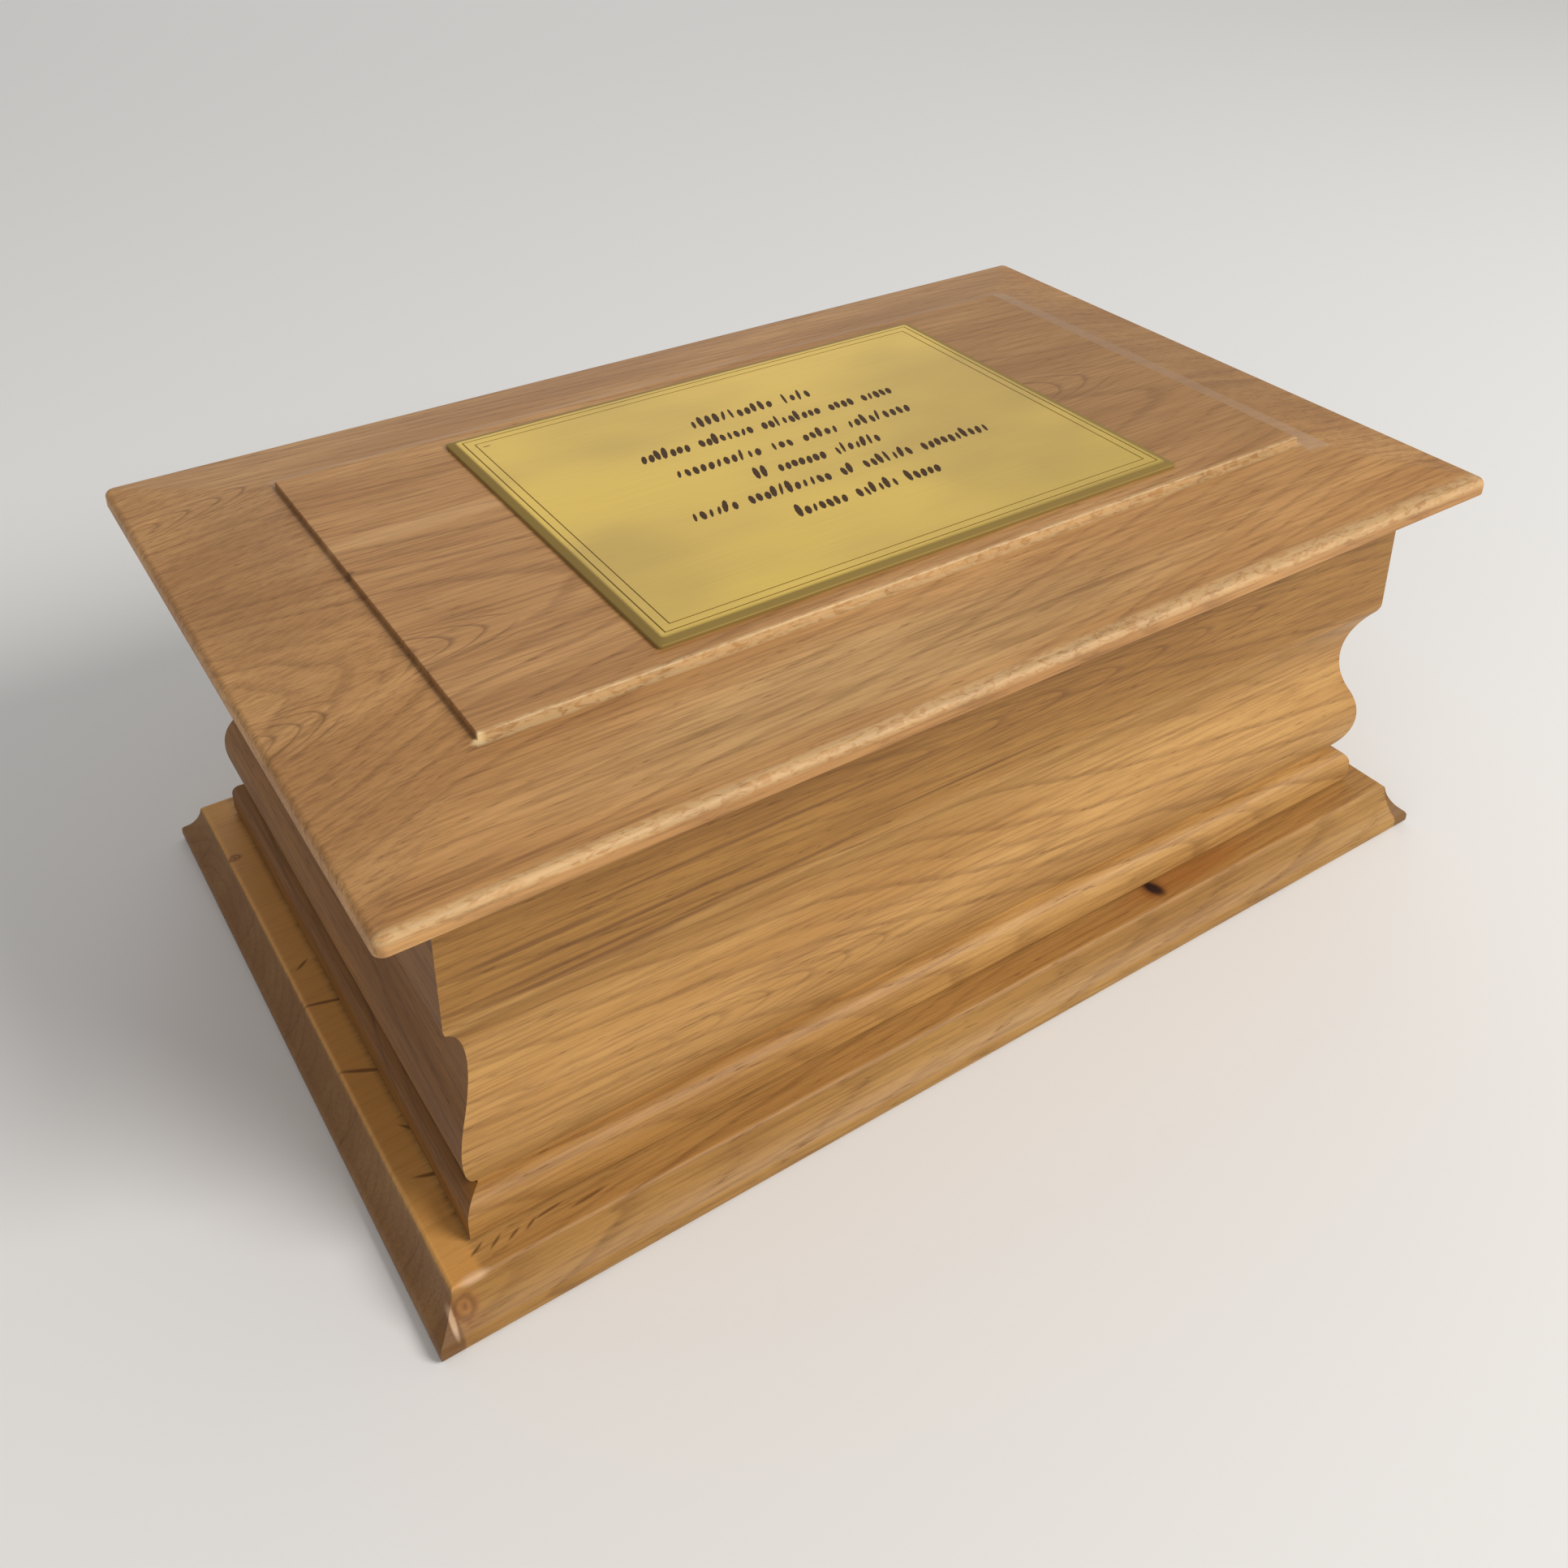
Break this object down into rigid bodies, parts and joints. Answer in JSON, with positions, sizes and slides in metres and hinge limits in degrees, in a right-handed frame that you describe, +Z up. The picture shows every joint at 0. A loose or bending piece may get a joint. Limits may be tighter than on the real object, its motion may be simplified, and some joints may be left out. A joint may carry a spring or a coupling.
{
  "type": "cremation urn box",
  "caption": "Moulded oak cremation urn box on a stepped base board, with a raised-field lift-off lid and an engraved brass name plate.",
  "frame": {"origin": "middle of the underside of the base board", "axes": "+X along the long front side to the right, +Y from the front to the back, +Z up"},
  "size_m": [0.305, 0.195, 0.1231],
  "materials": {
    "oak_base": "satin",
    "oak_sides": "satin",
    "oak_lid": "satin",
    "brass_plate": "satin"
  },
  "bodies": {
    "root": {"base_board": "oak_base", "front_side": "oak_sides", "back_side": "oak_sides", "left_side": "oak_sides", "right_side": "oak_sides", "lid": "oak_lid", "name_plate": "brass_plate"}
  },
  "joints": []
}
